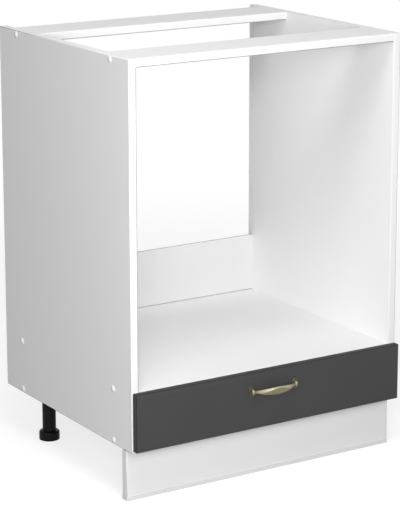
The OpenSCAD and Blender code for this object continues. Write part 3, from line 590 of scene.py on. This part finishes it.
def bow_section(along, top, bottom, thick):
    """Closed outline of the bow across its length: (depth below the outer face, height, hollow, wear and
    painted highlight).
    """
    height = top - bottom
    leaf = smooth(height, *LEAF_HEIGHTS)
    facet = FACET_SHARES[0] + (FACET_SHARES[1] - FACET_SHARES[0]) * smooth(abs(along), *FACET_RUN)
    stain = END_STAIN * smooth(abs(along), *END_RUN)
    rub_highlight = RUB_HIGHLIGHT * (1 - smooth(abs(along), *RUB_HIGHLIGHT_RUN))
    outline = []
    for share, cut in LEAF:
        depth = thick * cut
        if share < FACET_END:
            place = share * facet / FACET_END
            depth = min(depth, (facet - place) * height * FACET_SLOPE + thick * max(cut - FACET_CUT, 0.0))
        else:
            place = facet + (share - FACET_END) * (1 - facet) / (1 - FACET_END)
        round_cut = 0.5 - 0.5 * math.sqrt(max(1 - (2 * place - 1) ** 2, 0.0))
        groove = GROOVE_STAIN * leaf * bell(share, GROOVE_PLACE, GROOVE_SPREAD)
        depth = leaf * depth + (1 - leaf) * thick * round_cut
        # Painted highlight and wear: paler brass on the upper facet
        rub_and_highlight = rub_highlight * (1 - smooth(share, 0.22, FACET_END))
        outline.append((depth, top - place * height, max(stain, groove), rub_and_highlight))
    for i in range(1, INNER_POINTS + 1):
        share = 1 - i / (INNER_POINTS + 1)
        bulge = math.sqrt(max(1 - (2 * share - 1) ** 2, 0.0))
        depth = thick * (leaf * (0.86 + 0.14 * bulge) + (1 - leaf) * (0.5 + 0.5 * bulge))
        outline.append((depth, top - share * height, END_STAIN, 0.0))
    return outline


def add_bow(mesh, hollow, rub_and_highlight, origin):
    """Adds the bow: its section is swept along its length, square to its outer face."""
    half = curve_through(BOW, BOW_STEPS)
    rows = [[-row[0], *row[1:]] for row in reversed(half[1:])] + half
    rings = []
    for i, (along, reach, top, bottom, thick) in enumerate(rows):
        before, after = rows[max(i - 1, 0)], rows[min(i + 1, len(rows) - 1)]
        run, rise = after[0] - before[0], after[1] - before[1]
        size = math.hypot(run, rise)
        out_x, out_y = -rise / size, run / size
        ring = []
        for depth, height, hidden, rub_highlight in bow_section(along, top, bottom, thick):
            x, y = along - depth * out_x, reach - depth * out_y
            vert = mesh.verts.new(origin + MM * Vector((x, -y, height)))
            vert[hollow] = hidden
            vert[rub_and_highlight] = rub_highlight
            ring.append(vert)
        rings.append(ring)
    for a, b in zip(rings, rings[1:]):
        for i in range(len(a)):
            j = (i + 1) % len(a)
            mesh.faces.new((a[i], a[j], b[j], b[i]))
    mesh.faces.new(list(reversed(rings[0])))
    mesh.faces.new(rings[-1])


def oval_radius(x, z):
    """Distance from the middle of a rounded oval whose rim is at 1."""
    return (abs(x) ** ROSETTE_POWER + abs(z) ** ROSETTE_POWER) ** (1 / ROSETTE_POWER)


def rosette_face(x, z, side):
    """Height of the rosette's face, hollow, and paler brass of wear and painted highlight.

    The face has a beaded rim, a valley and an upright shell that carries the bow. shell is 0 at the
    shell's middle and 1 at its foot, where the most patina lies. Its top gets the most paler brass, as wear
    and painted highlight."""
    radius = oval_radius(x / ROSETTE_HALF_W, z / ROSETTE_HALF_H)
    plate = PLATE_HEIGHT + BEAD_HEIGHT * bell(radius, BEAD_PLACE, BEAD_SPREAD)
    plate -= RIM_DROP * smooth(radius, 0.93, 1.0)
    shell = ((x + SHELL_SHIFT * side) / SHELL_HALF_W) ** 2 + (abs(z - SHELL_RISE) / SHELL_HALF_H) ** 2.6
    bulge = SHELL_HEIGHT * math.sqrt(max(1 - shell, 0.0)) ** 1.2
    stain = max(0.62 - 0.55 * smooth(-shell, -0.60, 0.0), 0.9 * bell(shell, 1.05, 0.22))
    # Painted highlight and wear: paler brass on the shell's top
    return plate + bulge, stain, 0.7 * smooth(-shell, -0.45, 0.0)


def add_rosette(mesh, hollow, rub_and_highlight, origin, side):
    """Adds the rosette at the bow's left (side -1) or right end (side 1)."""
    centre = origin + MM * Vector((side * (SCREW_HALF_SPAN + ROSETTE_SHIFT), 0, 0))

    def place(x, y, z, hidden, rub_highlight):
        vert = mesh.verts.new(centre + MM * Vector((x, -y, z)))
        vert[hollow] = hidden
        vert[rub_and_highlight] = rub_highlight
        return vert

    rings = []
    for i in range(ROSETTE_RINGS + 1):
        share = max(i / ROSETTE_RINGS, 0.02)
        ring = []
        for k in range(ROSETTE_SPOKES):
            turn = 2 * math.pi * k / ROSETTE_SPOKES
            c, s = math.cos(turn), math.sin(turn)
            reach = share / oval_radius(c, s)
            x, z = ROSETTE_HALF_W * reach * c, ROSETTE_HALF_H * reach * s
            high, hidden, rub_highlight = rosette_face(x, z, side)
            ring.append(place(x, high, z, hidden, rub_highlight))
        rings.append(ring)
    outline = [(v.co - centre) / MM for v in rings[-1]]
    rings.append([place(p.x, 0.0, p.z, 0.3, 0.0) for p in outline])
    for a, b in zip(rings, rings[1:]):
        for i in range(ROSETTE_SPOKES):
            j = (i + 1) % ROSETTE_SPOKES
            mesh.faces.new((a[i], a[j], b[j], b[i]))
    mesh.faces.new(list(reversed(rings[0])))
    mesh.faces.new(rings[-1])


def make_handle(material):
    """The brass handle, which stands for the CAD handle in the picture."""
    low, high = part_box("handle")
    origin = Vector(((low.x + high.x) / 2, high.y, (low.z + high.z) / 2))
    mesh = bmesh.new()
    hollow = mesh.verts.layers.float.new("hollow")
    rub_and_highlight = mesh.verts.layers.float.new("rub_and_highlight")
    add_bow(mesh, hollow, rub_and_highlight, origin)
    for side in (-1, 1):
        add_rosette(mesh, hollow, rub_and_highlight, origin, side)
    bmesh.ops.recalc_face_normals(mesh, faces=mesh.faces)
    data = bpy.data.meshes.new("brass_handle")
    mesh.to_mesh(data)
    mesh.free()
    data.polygons.foreach_set("use_smooth", [True] * len(data.polygons))
    data.materials.append(material)
    handle = bpy.data.objects.new("brass_handle", data)
    bpy.context.scene.collection.objects.link(handle)
    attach(handle, "drawer")
    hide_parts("handle")


# dressing the CAD nodes
def dress(nodes, material):
    """Gives the CAD nodes a material in the slots that they have."""
    for name in nodes:
        for slot in frame["nodes"][name].material_slots:
            slot.material = material


def ending(*ends):
    """The CAD nodes whose names end with one of these."""
    return [name for name in frame["nodes"] if name.endswith(ends)]


SIDES = ["left_side_panel", "right_side_panel"]
SHELVES = ["oven_shelf", "bottom_panel"]
RAILS = ["front_top_rail", "rear_top_rail"]
DRAWER_BOARDS = ["drawer_box_front", "drawer_box_back", "left_drawer_side", "right_drawer_side"]
front_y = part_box("left_side_panel")[0].y
rail_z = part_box("front_top_rail")[0].z
back_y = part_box("back_panel")[0].y
shelf_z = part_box("oven_shelf")[1].z
groove_side = abs(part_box("right_side_panel")[0].x) + 1 * MM

dress(SIDES, white_board("melamine_side", [("Y", 1.0)], front_y, joint_z=rail_z, grey=SIDE_EDGE_SHADE_GREY))
# The shelves' lighter white is painted light
dress(SHELVES, white_board("melamine_shelf", [("Y", 1.0)], front_y, white=SHELF_PAINTED_LIGHT_WHITE))
dress(RAILS, white_board("melamine_rail", [("Y", 1.0)]))
# The plinth's darker white is painted shade
dress(["plinth_board"], white_board("melamine_plinth", [("Z", -1.0)], white=PLINTH_PAINTED_SHADE_WHITE))
dress(DRAWER_BOARDS, white_board("melamine_drawer", [("Z", -1.0)]))
dress(["back_panel", "drawer_bottom"], hardboard(back_y, shelf_z))
dress(["drawer_front"], graphite_film())
dress(["screw_caps"], cap_plastic())
dress(["plinth_seal"], soft_seal())
dress(ending("_screws", "_nails", "_axles"), zinc())
dress(ending("_runner"), powder_coat())
dress(ending("_roller"), nylon())
dress(ending("_socket", "_column", "_foot", "_clip"), black_plastic())
make_handle(antique_brass())
weld(frame["nodes"]["screw_caps"])

# Edges to round: how far from the middle they lie for each axis, and the least length
long_marks = edge_marks({"X": 0.0}, 300 * MM)
side_marks = edge_marks({"Y": groove_side, "Z": 0.0}, 300 * MM)
plinth_marks = edge_marks({"X": 0.0, "Z": 0.0}, 60 * MM)
all_marks = edge_marks({"X": 0.0, "Y": 0.0, "Z": 0.0}, 12 * MM)
# Boards, the width of their rounding and their marks
ROUNDED = (
    (SIDES, 2.0 * MM, side_marks),
    (SHELVES + RAILS, 2.0 * MM, long_marks),
    (DRAWER_BOARDS, 0.8 * MM, all_marks),
    (["plinth_board"], 1.6 * MM, plinth_marks),
    (["drawer_front"], 0.9 * MM, all_marks),
)
for boards, edge_width, edges in ROUNDED:
    for board in boards:
        round_edges(frame["nodes"][board], edge_width, edges)


# room, lamps and camera
FLOOR_RADIUS = 30.0
FLOOR_GAP = 0.2 * MM
# The floor is plain white from the second distance on, and keeps its shadow up to the first
FLOOR_FADE = (1.17, 2.6)
# Colour of the floor for the light that it throws on the object
BOUNCE_COLOUR = (0.30, 0.30, 0.30, 1.0)
# The floor that the camera sees: the light on its colour and its own glow add up to white
FLOOR_COLOUR = (0.40, 0.40, 0.40, 1.0)
FLOOR_GLOW = 0.73


def floor_material():
    """Pale floor that shows white to the camera, keeps the object's shadow and is plain white far off."""
    graph = Graph("floor")
    far = graph.ramp(graph.vector("LENGTH", graph.place)["Value"], *FLOOR_FADE)
    bounce = graph.add("BsdfDiffuse", None, {"Color": BOUNCE_COLOUR}).outputs[0]
    lit = graph.add("BsdfDiffuse", None, {"Color": FLOOR_COLOUR}).outputs[0]
    glow = graph.add("Emission", None, {"Color": WHITE_LIGHT, "Strength": FLOOR_GLOW}).outputs[0]
    near = graph.add("AddShader", None, {0: lit, 1: glow}).outputs[0]
    plain = graph.add("Emission", None, {"Color": WHITE_LIGHT, "Strength": SEEN_LEVEL}).outputs[0]
    picture = graph.add("MixShader", None, {0: far, 1: near, 2: plain}).outputs[0]
    both = graph.add("MixShader", None, {0: graph.seen(), 1: bounce, 2: picture}).outputs[0]
    graph.add("OutputMaterial", None, {"Surface": both})
    return graph.material


def make_floor():
    """A large round floor just below the object."""
    mesh = bpy.data.meshes.new("floor")
    disk = bmesh.new()
    bmesh.ops.create_circle(disk, cap_ends=True, segments=96, radius=FLOOR_RADIUS)
    disk.to_mesh(mesh)
    disk.free()
    floor = bpy.data.objects.new("floor", mesh)
    bpy.context.scene.collection.objects.link(floor)
    floor.location.z = cad_box[0].z - FLOOR_GAP
    mesh.materials.append(floor_material())
    return floor


def keep_under_feet(floor, feet):
    """Lowers the floor with the lowest foot, so that a foot that is screwed out still stands on it."""
    nodes, start, end = modifier_nodes("floor_level")
    lowest = 0.0
    for foot in feet:
        info = nodes.add("GeometryNodeObjectInfo", {"transform_space": "ORIGINAL"}, {"Object": foot})
        lowest = nodes.math("MINIMUM", nodes.axis(info.outputs["Location"], "Z"), lowest)
    offset = nodes.add("CombineXYZ", None, {"Z": lowest}).outputs[0]
    moved = nodes.add("GeometryNodeSetPosition", None, {"Geometry": start, "Offset": offset})
    nodes.put(end, moved.outputs[0])
    floor.modifiers.new("level", "NODES").node_group = nodes.tree


def make_world():
    """Even studio light that reads as plain white to the camera, in reflections and through clear plastic."""
    world = bpy.data.worlds.new("studio")
    bpy.context.scene.world = world
    world.use_nodes = True
    world.node_tree.nodes.clear()
    nodes = Nodes(world.node_tree)
    inputs = {"Value": nodes.seen(), "To Min": WORLD_LEVEL, "To Max": SEEN_LEVEL}
    level = nodes.add("MapRange", None, inputs).outputs[0]
    background = nodes.add("Background", None, {"Color": WHITE_LIGHT, "Strength": level}).outputs[0]
    nodes.add("OutputWorld", None, {"Surface": background})


LAMP_TARGET = (0.0, 0.0, 0.45)
# Name, place, diameter, power and glint
LAMPS = (
    ("key", (-2.20, -3.40, 1.40), 1.4, 79.0, True),
    ("far_left", (-3.00, -2.00, 1.20), 1.4, 17.5, True),
    ("left_opening", (-0.45, -0.90, 0.60), 0.4, 1.9, False),
    ("front_right", (1.60, -2.20, 1.20), 1.1, 11.7, False),
    ("overhead", (0.00, -0.10, 2.60), 1.2, 5.5, True),
    ("front_top", (-0.60, -0.90, 2.20), 0.9, 14.8, True),
    ("rear_right", (1.70, 2.60, 0.36), 0.9, 10.0, True),
)


def area_lamp(name, place, size, watts, glint):
    """A round lamp that points at LAMP_TARGET; glint says whether glossy faces reflect it."""
    data = bpy.data.lights.new(name, "AREA")
    data.shape = "DISK"
    data.size = size
    data.energy = watts
    lamp = bpy.data.objects.new(name, data)
    bpy.context.scene.collection.objects.link(lamp)
    lamp.location = place
    lamp.rotation_mode = "QUATERNION"
    lamp.rotation_quaternion = (Vector(LAMP_TARGET) - Vector(place)).to_track_quat("-Z", "Y")
    lamp.visible_camera = False
    lamp.visible_glossy = glint


def make_camera():
    """The photograph's camera."""
    data = bpy.data.cameras.new("camera")
    data.sensor_width = SENSOR
    data.lens = FOCAL_PIXELS / IMAGE_HEIGHT * SENSOR
    data.shift_y = SHIFT_UP
    data.clip_start, data.clip_end = 0.1, 100.0
    camera = bpy.data.objects.new("camera", data)
    bpy.context.scene.collection.objects.link(camera)
    turn = Matrix.Rotation(math.radians(-CAMERA_YAW), 4, "Z")
    tilt = Matrix.Rotation(math.radians(90 - CAMERA_PITCH), 4, "X")
    roll = Matrix.Rotation(math.radians(CAMERA_ROLL), 4, "Z")
    camera.matrix_world = Matrix.Translation(CAMERA_PLACE) @ turn @ tilt @ roll
    bpy.context.scene.camera = camera


FEET = [body for name, body in frame["bodies"].items() if name.endswith("_foot")]

keep_under_feet(make_floor(), FEET)
make_world()
for lamp in LAMPS:
    area_lamp(*lamp)
make_camera()
bpy.context.scene.view_settings.view_transform = "Standard"
